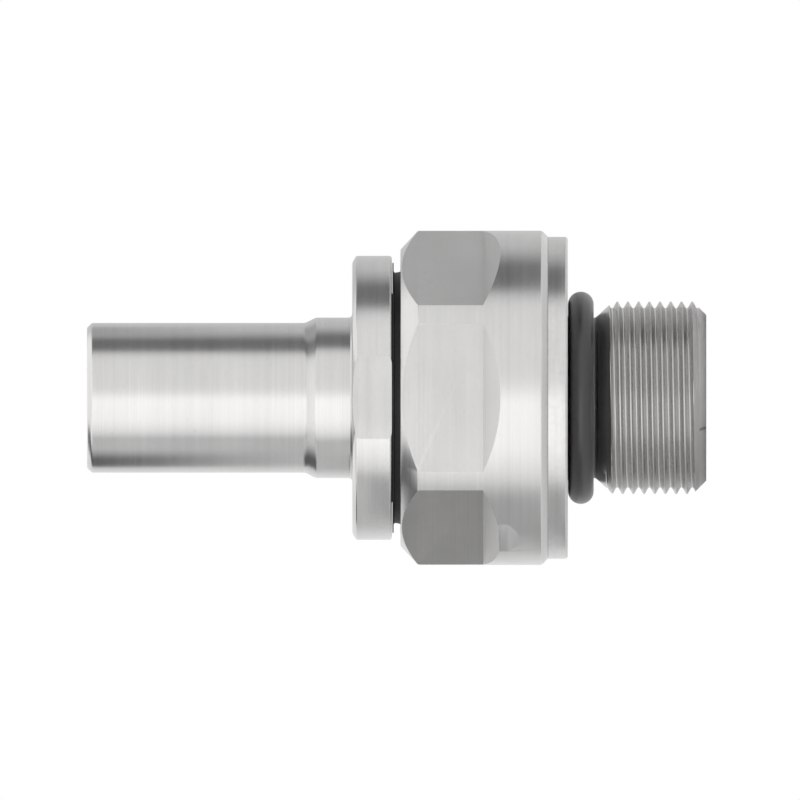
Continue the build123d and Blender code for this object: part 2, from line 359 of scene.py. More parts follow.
def open_group(
    name: str, inputs: dict[str, float], outputs: Sequence[str]
) -> tuple[Graph, bpy.types.Node, bpy.types.Node]:
    """Start a shader node group with named float sockets.

    Args:
        name: The group's name.
        inputs: Names and usual values of its inputs.
        outputs: Names of its outputs.

    Returns:
        The graph, its input node and its output node.
    """
    tree = bpy.data.node_groups.new(name, "ShaderNodeTree")
    for label, value in inputs.items():
        socket = tree.interface.new_socket(label, in_out="INPUT", socket_type="NodeSocketFloat")
        socket.default_value = value
    for label in outputs:
        tree.interface.new_socket(label, in_out="OUTPUT", socket_type="NodeSocketFloat")
    graph = Graph(tree)
    return graph, graph.add("NodeGroupInput"), graph.add("NodeGroupOutput")


@dataclass
class Effects:
    """The shared node groups, built once and placed in each material."""

    drift: Patches = Patches(55.0, 1.0)
    fine_drift: float = 1.6
    band_share: float = 0.11
    band_drift: float = 2.3
    band_height: float = 0.2
    band_tone: float = 0.55
    worn: Patches = Patches(900.0, 3.0)
    worn_least: float = 0.25
    clouds: Patches = Patches(70.0, 4.0, 0.35, 0.7)
    specks: Patches = Patches(1400.0, 2.0, 0.62, 0.78)
    swell: Patches = Patches(160.0, 3.0)
    swell_height: float = 0.3
    dust: Patches = Patches(2600.0, 1.0, 0.2, 0.42)
    tool_marks: bpy.types.NodeTree = field(init=False)
    edge_wear: bpy.types.NodeTree = field(init=False)
    stains: bpy.types.NodeTree = field(init=False)
    moulded_skin: bpy.types.NodeTree = field(init=False)

    def __post_init__(self) -> None:
        """Build the four groups."""
        self.tool_marks = self.build_tool_marks()
        self.edge_wear = self.build_edge_wear()
        self.stains = self.build_stains()
        self.moulded_skin = self.build_moulded_skin()

    def build_tool_marks(self) -> bpy.types.NodeTree:
        """Lines that a cutting tool leaves: they run round a turned face, or straight across a milled one.

        Returns:
            The node group.
        """
        graph, given, result = open_group(
            "tool_marks", {"Lines per mm": 6.0, "Radial share": 0.7}, ("Height", "Tone")
        )
        place = graph.add("TexCoord").outputs["Object"]
        parts = graph.add("SeparateXYZ")
        graph.put(parts, 0, place)
        x, y, z = parts.outputs
        squares = graph.math("ADD", graph.math("MULTIPLY", x, x), graph.math("MULTIPLY", y, y))
        radius = graph.math("SQRT", squares)
        along = graph.math("ADD", z, graph.math("MULTIPLY", radius, given.outputs["Radial share"]))
        lines = graph.math("MULTIPLY", graph.math("MULTIPLY", along, given.outputs["Lines per mm"]), 1 / MM)
        slow = graph.noise(place, self.drift.scale, self.drift.detail)
        shifted = graph.add("CombineXYZ")
        graph.put(shifted, 0, lines)
        graph.put(shifted, 1, graph.math("MULTIPLY", slow, self.fine_drift))
        fine = graph.noise(shifted.outputs[0], 1.0, 3.0)
        broad = graph.add("CombineXYZ")
        graph.put(broad, 0, graph.math("MULTIPLY", lines, self.band_share))
        graph.put(broad, 1, graph.math("MULTIPLY", slow, self.band_drift))
        bands = graph.noise(broad.outputs[0], 1.0, 2.0)
        for name, share in (("Height", self.band_height), ("Tone", self.band_tone)):
            fine_part = graph.math("MULTIPLY", fine, 1 - share)
            graph.put(result, name, graph.math("ADD", fine_part, graph.math("MULTIPLY", bands, share)))
        return graph.tree

    def build_edge_wear(self) -> bpy.types.NodeTree:
        """Mask of bright, handled edges, from the distance that each vertex stores.

        Returns:
            The node group.
        """
        graph, given, result = open_group("edge_wear", {"Amount": 0.7}, ("Mask",))
        near = graph.add("Attribute", attribute_name=WEAR).outputs["Fac"]
        place = graph.add("TexCoord").outputs["Object"]
        broken = graph.patches(place, self.worn, self.worn_least)
        mask = graph.math("MULTIPLY", near, broken)
        graph.put(result, "Mask", graph.math("MULTIPLY", mask, given.outputs["Amount"]))
        return graph.tree

    def build_stains(self) -> bpy.types.NodeTree:
        """Soft clouds of handling and cleaning on a metal face.

        Returns:
            The node group.
        """
        graph, given, result = open_group("stains", {"Amount": 0.5}, ("Cloud", "Specks"))
        place = graph.add("TexCoord").outputs["Object"]
        cloud = graph.patches(place, self.clouds)
        specks = graph.patches(place, self.specks)
        graph.put(result, "Cloud", graph.math("MULTIPLY", cloud, given.outputs["Amount"]))
        graph.put(result, "Specks", graph.math("MULTIPLY", specks, given.outputs["Amount"]))
        return graph.tree

    def build_moulded_skin(self) -> bpy.types.NodeTree:
        """Fine grain and dust of a moulded rubber or polymer skin.

        Returns:
            The node group.
        """
        graph, given, result = open_group(
            "moulded_skin", {"Grain per m": 4200.0, "Dust": 0.4}, ("Height", "Dust mask")
        )
        place = graph.add("TexCoord").outputs["Object"]
        scaled = graph.add("VectorMath", operation="SCALE")
        graph.put(scaled, 0, place)
        graph.put(scaled, "Scale", given.outputs["Grain per m"])
        grain = graph.noise(scaled.outputs[0], 1.0, 3.0)
        soft = graph.noise(place, self.swell.scale, self.swell.detail)
        dusty = graph.math("MULTIPLY", soft, graph.noise(place, self.dust.scale, self.dust.detail))
        dust = graph.span(dusty, self.dust.low, self.dust.high, 0.0, 1.0)
        fine_part = graph.math("MULTIPLY", grain, 1 - self.swell_height)
        soft_part = graph.math("MULTIPLY", soft, self.swell_height)
        graph.put(result, "Height", graph.math("ADD", fine_part, soft_part))
        graph.put(result, "Dust mask", graph.math("MULTIPLY", dust, given.outputs["Dust"]))
        return graph.tree


@dataclass(frozen=True)
class MetalFinish:
    """Bare machined metal with tool marks, soft stains and bright edges."""

    name: str
    colour: Colour
    roughness: float
    marks: Marks
    lines_per_mm: float
    depth: float
    stain: float = 0.5
    wear: float = 0.7
    streaks: float = 0.06
    spread: float = 0.0
    spread_turn: float = 0.25
    radial_share: float = 0.7
    cloud_tone: float = 0.93
    speck_tone: float = 0.9
    wear_tone: float = 1.16
    rough_swing: float = 0.15
    cloud_roughness: float = 0.06
    wear_polish: float = 0.05
    bump_strength: float = 0.35

    def build(self, effects: Effects) -> bpy.types.Material:
        """Make the material.

        Args:
            effects: The shared node groups.

        Returns:
            The material.
        """
        material = bpy.data.materials.new(self.name)
        material.use_nodes = True
        graph = Graph(material.node_tree)
        shader = graph.tree.nodes["Principled BSDF"]
        share = self.radial_share if self.marks is Marks.TURNED else 0.0
        marks = graph.group(effects.tool_marks, Lines_per_mm=self.lines_per_mm, Radial_share=share)
        stains = graph.group(effects.stains, Amount=self.stain)
        wear = graph.group(effects.edge_wear, Amount=self.wear)
        tone = graph.span(
            marks.outputs["Tone"], NOISE_LOW, NOISE_HIGH, 1 - self.streaks, 1 + self.streaks
        )
        for mask, changed in (
            (stains.outputs["Cloud"], self.cloud_tone),
            (stains.outputs["Specks"], self.speck_tone),
            (wear.outputs["Mask"], self.wear_tone),
        ):
            tone = graph.math("MULTIPLY", tone, graph.span(mask, 0.0, 1.0, 1.0, changed))
        colour = graph.add("VectorMath", operation="SCALE")
        graph.put(colour, 0, self.colour)
        graph.put(colour, "Scale", tone)
        graph.put(shader, "Base Color", colour.outputs[0])
        graph.put(shader, "Metallic", 1.0)
        if self.spread > 0:
            graph.put(shader, "Anisotropic", self.spread)
            graph.put(shader, "Anisotropic Rotation", self.spread_turn)
            graph.put(shader, "Tangent", graph.add("Tangent", direction_type="RADIAL", axis="Z").outputs[0])
        smoothest, roughest = self.roughness * (1 - self.rough_swing), self.roughness * (1 + self.rough_swing)
        rough = graph.span(marks.outputs["Tone"], NOISE_LOW, NOISE_HIGH, smoothest, roughest)
        clouded = graph.math("MULTIPLY", stains.outputs["Cloud"], self.cloud_roughness)
        polished = graph.math("MULTIPLY", wear.outputs["Mask"], self.wear_polish)
        rough = graph.math("SUBTRACT", graph.math("ADD", rough, clouded), polished)
        graph.put(shader, "Roughness", rough)
        bump = graph.add("Bump")
        graph.put(bump, "Strength", self.bump_strength)
        graph.put(bump, "Distance", self.depth * MM)
        graph.put(bump, "Height", marks.outputs["Height"])
        graph.put(shader, "Normal", bump.outputs[0])
        return material


@dataclass(frozen=True)
class MouldedFinish:
    """Rubber or polymer with a fine grain and a little dust."""

    name: str
    colour: Colour
    dusty: Colour
    roughness: float
    grain_per_m: float = 4200.0
    dust: float = 0.4
    specular: float = 0.5
    edge_dust: float = 0.5
    dust_roughness: float = 0.2
    bump_strength: float = 0.25
    depth: float = 0.015

    def build(self, effects: Effects) -> bpy.types.Material:
        """Make the material.

        Args:
            effects: The shared node groups.

        Returns:
            The material.
        """
        material = bpy.data.materials.new(self.name)
        material.use_nodes = True
        graph = Graph(material.node_tree)
        shader = graph.tree.nodes["Principled BSDF"]
        skin = graph.group(effects.moulded_skin, Grain_per_m=self.grain_per_m, Dust=self.dust)
        wear = graph.group(effects.edge_wear, Amount=self.edge_dust)
        mixed = graph.add("Mix", data_type="RGBA")
        graph.put(mixed, 0, graph.math("MAXIMUM", skin.outputs["Dust mask"], wear.outputs["Mask"]))
        graph.put(mixed, MIX_FIRST, (*self.colour, 1.0))
        graph.put(mixed, MIX_SECOND, (*self.dusty, 1.0))
        graph.put(shader, "Base Color", mixed.outputs[MIX_RESULT])
        dull = self.roughness + self.dust_roughness
        rough = graph.span(skin.outputs["Dust mask"], 0.0, 1.0, self.roughness, dull)
        graph.put(shader, "Roughness", rough)
        graph.put(shader, "Specular IOR Level", self.specular)
        bump = graph.add("Bump")
        graph.put(bump, "Strength", self.bump_strength)
        graph.put(bump, "Distance", self.depth * MM)
        graph.put(bump, "Height", skin.outputs["Height"])
        graph.put(shader, "Normal", bump.outputs[0])
        return material


@dataclass
class Finishes:
    """Every finish of the coupling, made once."""

    effects: Effects
    made: dict[str, bpy.types.Material] = field(default_factory=dict)

    def __post_init__(self) -> None:
        """Build the materials."""
        steel = (0.66, 0.655, 0.65)
        for finish in (
            MetalFinish("rotor_steel", steel, 0.2, Marks.TURNED, 5.0, 0.012),
            MetalFinish("housing_steel", steel, 0.2, Marks.TURNED, 5.0, 0.012),
            MetalFinish("flat_steel", steel, 0.4, Marks.MILLED, 3.2, 0.01, streaks=0.012, spread=0.95),
            # The lower flat's darker base colour is painted shade; its coarser lines and streaks are tool
            # marks.
            MetalFinish(
                "coarse_flat_painted_shade_steel", (0.46, 0.457, 0.45), 0.4, Marks.MILLED, 2.2, 0.03,
                streaks=0.13, spread=0.95,
            ),
            MetalFinish("run_out_steel", (0.6, 0.596, 0.59), 0.3, Marks.MILLED, 4.0, 0.02),
            MetalFinish("stud_steel", (0.64, 0.635, 0.63), 0.22, Marks.TURNED, 6.0, 0.012),
            # The thread's darker base colour is painted shade of its grooves.
            MetalFinish("thread_painted_shade_steel", (0.56, 0.556, 0.55), 0.24, Marks.TURNED, 6.0, 0.012),
            MetalFinish("nut_steel", (0.5, 0.49, 0.48), 0.3, Marks.TURNED, 4.0, 0.012),
            MetalFinish("washer_steel", (0.56, 0.55, 0.54), 0.26, Marks.MILLED, 8.0, 0.005),
            MetalFinish("bearing_steel", (0.68, 0.68, 0.69), 0.12, Marks.TURNED, 12.0, 0.003),
            MetalFinish("ball_steel", (0.74, 0.74, 0.75), 0.06, Marks.MILLED, 2.0, 0.001, stain=0.2),
            MetalFinish("cage_brass", (0.72, 0.53, 0.25), 0.25, Marks.TURNED, 5.0, 0.01),
            MouldedFinish("seal_rubber", (0.018, 0.018, 0.019), (0.06, 0.06, 0.058), 0.5),
            MouldedFinish(
                "port_ring_rubber", (0.01, 0.01, 0.01), (0.04, 0.04, 0.038), 0.3, dust=0.1, specular=1.0
            ),
            MouldedFinish("static_ring_rubber", (0.025, 0.025, 0.026), (0.06, 0.06, 0.058), 0.4),
            MouldedFinish("seal_polymer", (0.42, 0.24, 0.11), (0.5, 0.36, 0.24), 0.42, 2600.0),
            MouldedFinish("guide_polymer", (0.12, 0.15, 0.13), (0.22, 0.24, 0.22), 0.46, 2600.0),
        ):
            self.made[finish.name] = finish.build(self.effects)
            log.info("finish %s", finish.name)

    def dress(self, piece: bpy.types.Object, *names: str) -> None:
        """Give a piece its materials, the first one for all faces.

        Args:
            piece: The piece.
            *names: The finishes, in the order of the material slots.
        """
        piece.data.materials.clear()
        for name in names:
            piece.data.materials.append(self.made[name])


# The coupling


@dataclass
class Rotor:
    """Tube stub, collar, flange and journal, turned in one piece."""

    bore: float = 10.0
    tube: float = 14.0
    collar: float = 15.0
    flange: float = 26.55
    shaft: float = 19.4
    journal: float = 17.5
    nut_thread: float = 16.5
    nose_z: float = 27.6
    nut_thread_z: float = 39.7
    journal_z: float = 44.9
    shoulder_z: float = 51.5
    flange_z: float = 58.8
    collar_z: float = 66.2
    cone_z: float = 73.0
    tube_z: float = 75.0
    end_z: float = 115.8
    flat: float = 25.41
    nose_chamfer: float = 1.0
    flange_edge: float = 0.3
    flange_chamfer_width: float = 1.3
    flange_chamfer_height: float = 0.75
    flange_fillet: float = 0.8
    end_chamfer: float = 0.9
    mouth_chamfer: float = 0.3
    keyway_depth: float = 1.2
    keyway_half: float = 1.6
    overrun: float = 2.0
    edge: float = 0.15
    soft_edge: float = 0.3
    outer_edge: float = 0.25
    cone_edge: float = 0.5
    mouth_edge: float = 0.1
    smooth_below: float = 20
    steps: int = 256

    def corners(self) -> list[Corner]:
        """The half section with its edge rounds, from the nose upwards.

        Returns:
            Radius, height and round of each corner.
        """
        edge, soft = self.edge, self.soft_edge
        return [
            (self.bore, self.nose_z, edge),
            (self.tube - self.nose_chamfer, self.nose_z, edge),
            (self.tube, self.nose_z + self.nose_chamfer, edge),
            (self.tube, self.nut_thread_z, 0.0),
            (self.nut_thread, self.nut_thread_z, edge),
            (self.nut_thread, self.journal_z, 0.0),
            (self.journal, self.journal_z, edge),
            (self.journal, self.shoulder_z, 0.0),
            (self.shaft, self.shoulder_z, edge),
            (self.shaft, self.flange_z, soft),
            (self.flange - self.flange_edge, self.flange_z, edge),
            (self.flange, self.flange_z + self.flange_edge, edge),
            (self.flange, self.collar_z - self.flange_chamfer_height, soft),
            (self.flange - self.flange_chamfer_width, self.collar_z, soft),
            (self.collar, self.collar_z, self.flange_fillet),
            (self.collar, self.cone_z, self.outer_edge),
            (self.tube, self.tube_z, self.cone_edge),
            (self.tube, self.end_z - self.end_chamfer, soft),
            (self.tube - self.end_chamfer, self.end_z, self.outer_edge),
            (self.bore + self.mouth_chamfer, self.end_z, self.mouth_edge),
            (self.bore, self.end_z - self.mouth_chamfer, self.mouth_edge),
        ]

    def flat_tool(self, side: int) -> bpy.types.Object:
        """Make the milling tool for one spanner flat of the flange.

        Args:
            side: -1 for the flat towards -Y, 1 for the one towards +Y.

        Returns:
            The closed tool.
        """
        near, far = sorted((side * self.flat, side * (self.flange + self.overrun)))
        return block(
            "spanner_flat_tool",
            Vector((-self.flange, near, self.flange_z - self.overrun)),
            Vector((self.flange, far, self.collar_z + self.overrun)),
        )

    def is_flat(self, face: bpy.types.MeshPolygon) -> bool:
        """Whether a face lies on one of the spanner flats."""
        outside = abs(face.center.y) > (self.flange - self.flange_chamfer_width) * MM
        return abs(face.normal.y) > PARALLEL and outside

    def build(self, finishes: Finishes) -> None:
        """Model, dress and place the piece.

        Args:
            finishes: The finishes of the coupling.
        """
        corners = self.corners()
        piece = turn_solid("turned_rotor", eased(corners), self.steps)
        keyway = block(
            "keyway_tool",
            Vector((self.nut_thread - self.keyway_depth, -self.keyway_half, self.nut_thread_z)),
            Vector((self.nut_thread + self.overrun, self.keyway_half, self.journal_z)),
        )
        cut_away(piece, keyway)
        for side in (-1, 1):
            cut_away(piece, self.flat_tool(side))
        mark_wear(piece, corners)
        smooth(piece, self.smooth_below)
        finishes.dress(piece, "rotor_steel", "flat_steel")
        for face in piece.data.polygons:
            if self.is_flat(face):
                face.material_index = Face.FLAT
                face.use_smooth = False
        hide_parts("rotor_stem")
        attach(piece, "rotor")
        log.info("piece %s", piece.name)


@dataclass
class StakeTool:
    """The tool whose rim presses the notch that locks the housing on the sleeve."""

    angle: float = 212.0
    low_z: float = 34.9
    slope: float = 2.2
    land: float = 1.8
    depth: float = 0.6
    radius: float = 50.0
    slope_edge: float = 0.9
    land_edge: float = 0.3
    steps: int = 720

    def tool(self, bar: float) -> bpy.types.Object:
        """Make the tool at its place against the bar.

        Args:
            bar: Radius of the bar, in millimetres.

        Returns:
            A closed disc with one sloping side.
        """
        top_z = self.low_z + self.slope + self.land
        section: list[Corner] = [
            (0.0, self.low_z, 0.0),
            (self.radius - self.depth, self.low_z, 0.0),
            (self.radius, self.low_z + self.slope, self.slope_edge),
            (self.radius, top_z, self.land_edge),
            (0.0, top_z, 0.0),
        ]
        made = turn_solid("stake_tool", eased(section), self.steps)
        made.location.x = (bar - self.depth + self.radius) * MM
        settle(made)
        made.rotation_euler.z = math.radians(self.angle)
        settle(made)
        return made


@dataclass
class Housing:
    """Housing turned from bar, with six milled flats and their run-outs."""

    bore: float = 25.55
    register: float = 30.1
    bar: float = 31.25
    flat: float = 28.0
    face: float = 27.7
    seal_seat: float = 23.65
    lip: float = 20.0
    bearing_seat: float = 23.52
    low_z: float = 29.6
    clamp_z: float = 44.9
    bearing_top_z: float = 51.5
    seat_z: float = 55.7
    top_z: float = 57.2
    flat_z: float = 41.75
    flat_count: int = 6
    first_flat_turn: float = 30
    # This flat's finish is darker as painted shade, and it carries coarser tool marks.
    coarse_painted_shade_side: int = 3
    rear_chamfer: float = 1.15
    front_chamfer: float = 3.3
    overrun: float = 2.0
    run_out_reach: float = 5.0
    flat_reach: float = 0.2
    edge: float = 0.12
    outer_edge: float = 0.3
    face_edge: float = 0.2
    smooth_below: float = 15
    steps: int = 256
    stake: StakeTool = field(default_factory=StakeTool)

    def corners(self) -> list[Corner]:
        """The half section of the turned blank.

        Returns:
            Radius, height and round of each corner.
        """
        edge = self.edge
        return [
            (self.bore, self.low_z, edge),
            (self.register, self.low_z, edge),
            (self.bar, self.low_z + self.rear_chamfer, self.outer_edge),
            (self.bar, self.top_z - self.front_chamfer, self.outer_edge),
            (self.face, self.top_z, self.face_edge),
            (self.seal_seat, self.top_z, edge),
            (self.seal_seat, self.seat_z, 0.0),
            (self.lip, self.seat_z, edge),
            (self.lip, self.bearing_top_z, edge),
            (self.bearing_seat, self.bearing_top_z, 0.0),
            (self.bearing_seat, self.clamp_z, 0.0),
            (self.bore, self.clamp_z, 0.0),
        ]

    def turn_of(self, side: int) -> float:
        """The angle of a flat round Z, in radians."""
        return math.radians(self.first_flat_turn + 360 / self.flat_count * side)

    def flat_tool(self, side: int) -> bpy.types.Object:
        """Make the milling tool for one flat, with its slanted run-out.

        Args:
            side: Which of the flats, counted round Z.

        Returns:
            The closed tool.
        """
        run_out = self.bar - self.flat + self.overrun
        tool = block(
            "flat_tool",
            Vector((self.flat, -self.bar, self.flat_z - run_out)),
            Vector((self.flat + run_out, self.bar, self.top_z + self.overrun)),
        )
        take(tool)
        bpy.ops.object.mode_set(mode="EDIT")
        bpy.ops.mesh.select_mode(type="VERT")
        bpy.ops.mesh.select_all(action="DESELECT")
        bpy.ops.object.mode_set(mode="OBJECT")
        for vertex in tool.data.vertices:
            inner = vertex.co.x < (self.flat + 1) * MM
            vertex.select = inner and vertex.co.z < self.flat_z * MM
        bpy.ops.object.mode_set(mode="EDIT")
        bpy.ops.transform.translate(value=(0, 0, run_out * MM))
        bpy.ops.object.mode_set(mode="OBJECT")
        tool.rotation_euler.z = self.turn_of(side)
        settle(tool)
        return tool

    def finish_slot(self, face: bpy.types.MeshPolygon) -> Face:
        """Find the material slot of a face.

        Args:
            face: The face of the housing.

        Returns:
            Turned, flat, the coarse flat with its painted shade, or run-out.
        """
        if face.center.z < (self.flat_z - self.run_out_reach) * MM:
            return Face.TURNED
        for side in range(self.flat_count):
            turn = self.turn_of(side)
            out = Vector((math.cos(turn), math.sin(turn), 0))
            near_flat = face.center.dot(out) < (self.flat + self.flat_reach) * MM
            if face.normal.dot(out) > PARALLEL and near_flat:
                # The coarse flat takes the darker finish that paints its shade.
                return Face.COARSE_PAINTED_SHADE_FLAT if side == self.coarse_painted_shade_side else Face.FLAT
            slant = (out + Vector((0, 0, 1))).normalized()
            if face.normal.dot(slant) > PARALLEL:
                return Face.RUN_OUT
        return Face.TURNED

    def build(self, finishes: Finishes) -> None:
        """Model, dress and place the piece.

        Args:
            finishes: The finishes of the coupling.
        """
        corners = self.corners()
        piece = turn_solid("hex_body", eased(corners), self.steps)
        for side in range(self.flat_count):
            cut_away(piece, self.flat_tool(side))
        cut_away(piece, self.stake.tool(self.bar))
        mark_wear(piece, corners)
        smooth(piece, self.smooth_below)
        # The third slot holds the coarse flat's darker finish, which is painted shade.
        finishes.dress(piece, "housing_steel", "flat_steel", "coarse_flat_painted_shade_steel", "run_out_steel")
        for face in piece.data.polygons:
            face.material_index = self.finish_slot(face)
            if face.material_index != Face.TURNED:
                face.use_smooth = False
        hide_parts("hex_housing")
        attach(piece, "housing")
        log.info("piece %s", piece.name)


@dataclass
class Stud:
    """Male port thread with its real helix, neck, register ring, sleeve and seal hub in one piece."""

    crest: float = 18.0
    root: float = 16.77
    pitch: float = 2.0
    crest_phase: float = 0.635
    end_radius: float = 15.5
    end_chamfer_z: float = 2.5
    run_out_z: float = 17.5
    run_out_end_z: float = 18.2
    run_out_radius: float = 17.3
    neck_z: float = 20.7
    neck: float = 15.0
    bore: float = 10.0
    face_z: float = 25.9
    top_z: float = 29.6
    register: float = 30.1
    sleeve: float = 25.5
    sleeve_bore: float = 22.0
    sleeve_z: float = 44.5
    hub_z: float = 39.2
    hub_bore: float = 14.3
    floor_z: float = 27.0
    half_land: float = 0.1
    crest_drop: float = 0.03
    flank_start: float = 0.145
    flank_depth: float = 1.05
    flank_rise: float = 0.606
    flank_pieces: int = 5
    root_lift: float = 0.03
    root_start: float = 0.87
    seats: tuple[Corner, ...] = ((34.2, 36.3, 15.56), (31.0, 33.1, 16.78), (27.8, 29.9, 15.56))
    groove_low_z: float = 31.1
    groove_high_z: float = 33.45
    groove: float = 23.91
    groove_edge: float = 0.2
    register_chamfer: float = 0.35
    sleeve_chamfer: float = 0.5
    hub_chamfer: float = 0.8
    mouth_chamfer: float = 0.4
    neck_edge: float = 0.3
    neck_fillet: float = 0.4
    ring_reach: float = 0.004
    thread_reach: float = 0.1
    edge: float = 0.12
    smooth_below: float = 24
    steps: int = 180

    def envelope(self, height: float) -> float:
        """The largest radius at a height of the threaded end.

        Args:
            height: Height in millimetres.

        Returns:
            The radius in millimetres.
        """
        if height < self.end_chamfer_z:
            return self.end_radius + height * (self.crest - self.end_radius) / self.end_chamfer_z
        if height < self.run_out_z:
            return self.crest
        if height < self.run_out_end_z:
            share = (height - self.run_out_z) / (self.run_out_end_z - self.run_out_z)
            return self.crest + (self.run_out_radius - self.crest) * share
        share = (height - self.run_out_end_z) / (self.neck_z - self.run_out_end_z)
        return self.run_out_radius + (self.neck - self.run_out_radius) * share

    def thread_limits(self) -> tuple[float, float]:
        """The heights where the chamfer and the neck cone reach the root of the thread."""
        low = (self.root - self.end_radius) * self.end_chamfer_z / (self.crest - self.end_radius)
        fall = (self.run_out_radius - self.root) / (self.run_out_radius - self.neck)
        return low, self.run_out_end_z + fall * (self.neck_z - self.run_out_end_z)

    def thread_section(self) -> list[Point]:
        """The zigzag of crests, flanks and rounded roots, a whole number of pitches long.

        Returns:
            Radius and height of each point.
        """
        pitch, crest = self.pitch, self.crest
        flank = crest - self.crest_drop
        half: list[Point] = [(crest, self.half_land), (flank, self.flank_start)]
        for part in range(self.flank_pieces):
            share = (part + 1) / self.flank_pieces
            half.append((flank - self.flank_depth * share, self.flank_start + self.flank_rise * share))
        half.append((self.root + self.root_lift, self.root_start))
        points: list[Point] = []
        count = math.ceil((self.neck_z + 2 * pitch) / pitch) + 2
        for index in range(-2, count):
            middle = self.crest_phase + index * pitch
            points += [(radius, middle - step) for radius, step in reversed(half)]
            points += [(radius, middle + step) for radius, step in half]
            points.append((self.root, middle + pitch / 2))
        return points

    def cut_thread(self) -> bpy.types.Object:
        """Wind the zigzag into a right-hand helix and trim it to the end chamfer and the neck cone.

        Returns:
            An open sleeve that ends in two plain rings at the root of the thread.
        """
        piece = start_chain("threaded_port_end", self.thread_section())
        bpy.ops.object.mode_set(mode="OBJECT")
        take(piece)
        bpy.ops.object.modifier_add(type="SCREW")
        wind = piece.modifiers[-1]
        wind.axis = "Z"
        wind.angle = 2 * math.pi
        wind.screw_offset = self.pitch * MM
        wind.steps = wind.render_steps = self.steps
        bpy.ops.object.modifier_apply(modifier=wind.name)
        low, high = self.thread_limits()
        for vertex in piece.data.vertices:
            height = min(max(vertex.co.z / MM, low), high)
            radius = math.hypot(vertex.co.x, vertex.co.y) / MM
            kept = min(radius, self.envelope(height)) / radius
            vertex.co = (vertex.co.x * kept, vertex.co.y * kept, height * MM)
        bpy.ops.object.mode_set(mode="EDIT")
        close_shell()
        bpy.ops.object.mode_set(mode="OBJECT")
        return piece

    def inner_corners(self) -> list[Corner]:
        """The rest of the half section, from the neck cone over the register and sleeve down to the bore.

        Returns:
            Radius, height and round of each corner.
        """
        edge = self.edge
        seats: list[Corner] = []
        for low, high, radius in self.seats:
            seats += [
                (self.hub_bore, high, edge),
                (radius, high, 0.0),
                (radius, low, 0.0),
                (self.hub_bore, low, edge),
            ]
        return [
            (self.root, self.thread_limits()[1], 0.0),
            (self.neck, self.neck_z, self.neck_edge),
            (self.neck, self.face_z, self.neck_fillet),
            (self.register - self.register_chamfer, self.face_z, edge),
            (self.register, self.face_z + self.register_chamfer, edge),
            (self.register, self.top_z, edge),
            (self.sleeve, self.top_z, 0.0),
            (self.sleeve, self.groove_low_z, edge),
            (self.groove, self.groove_low_z, self.groove_edge),
            (self.groove, self.groove_high_z, self.groove_edge),
            (self.sleeve, self.groove_high_z, edge),
            (self.sleeve, self.sleeve_z - self.sleeve_chamfer, edge),
            (self.sleeve - self.sleeve_chamfer, self.sleeve_z, edge),
            (self.sleeve_bore, self.sleeve_z, edge),
            (self.sleeve_bore, self.hub_z, self.neck_edge),
            (self.hub_bore + self.hub_chamfer, self.hub_z, edge),
            (self.hub_bore, self.hub_z - self.hub_chamfer, edge),
            *seats,
            (self.hub_bore, self.floor_z, 0.0),
            (self.bore, self.floor_z, edge),
            (self.bore, self.mouth_chamfer, 0.0),
        ]

    def carry_ring(self, piece: bpy.types.Object, start: Point, points: Sequence[Point]) -> None:
        """Extrude a ring of edges along a half section.

        Args:
            piece: The mesh, in edit mode.
            start: Radius and height of the ring.
            points: The radii and heights that it passes through.
        """
        self.pick_rings(piece, [start])
        radius, height = start
        for new_radius, new_height in points:
            bpy.ops.mesh.extrude_region_move(
                TRANSFORM_OT_translate={"value": (0, 0, (new_height - height) * MM)}
            )
            grown = new_radius / radius
            bpy.ops.transform.resize(value=(grown, grown, 1), center_override=(0, 0, new_height * MM))
            radius, height = new_radius, new_height

    def pick_rings(self, piece: bpy.types.Object, rings: Sequence[Point]) -> None:
        """Select the edges that lie on given rings.

        Args:
            piece: The mesh, in edit mode.
            rings: Radius and height of each ring.
        """
        bpy.ops.mesh.select_mode(type="EDGE")
        bpy.ops.mesh.select_all(action="DESELECT")
        bpy.ops.object.mode_set(mode="OBJECT")
        near = self.ring_reach
        on_ring = []
        for vertex in piece.data.vertices:
            radius, height = math.hypot(vertex.co.x, vertex.co.y) / MM, vertex.co.z / MM
            on_ring.append(any(abs(radius - r) < near and abs(height - h) < near for r, h in rings))
        for edge in piece.data.edges:
            edge.select = all(on_ring[index] for index in edge.vertices)
        bpy.ops.object.mode_set(mode="EDIT")

    def build(self, finishes: Finishes) -> None:
        """Model, dress and place the piece.

        Args:
            finishes: The finishes of the coupling.
        """
        piece = self.cut_thread()
        low, high = self.thread_limits()
        corners = self.inner_corners()
        mouth = self.bore + self.mouth_chamfer
        end = [(self.end_radius, 0.0, self.edge), (mouth, 0.0, 0.0)]
        end_section = eased([(self.root, low, 0.0), *end], closed=False)
        take(piece)
        bpy.ops.object.mode_set(mode="EDIT")
        self.carry_ring(piece, (self.root, high), eased(corners, closed=False)[1:])
        self.carry_ring(piece, (self.root, low), end_section[1:])
        self.pick_rings(piece, [(self.bore, self.mouth_chamfer), (mouth, 0.0)])
        bpy.ops.mesh.bridge_edge_loops()
        close_shell()
        bpy.ops.object.mode_set(mode="OBJECT")
        mark_wear(piece, [*corners, *end])
        smooth(piece, self.smooth_below)
        finishes.dress(piece, "stud_steel", "thread_painted_shade_steel")
        # Thread faces get the darker finish, which paints the shade in the grooves.
        for face in piece.data.polygons:
            outside = math.hypot(face.center.x, face.center.y) > (self.root - self.thread_reach) * MM
            if outside and self.edge * MM < face.center.z < self.run_out_end_z * MM:
                face.material_index = 1
        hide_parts("threaded_stud")
        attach(piece, "housing")
        log.info("piece %s", piece.name)


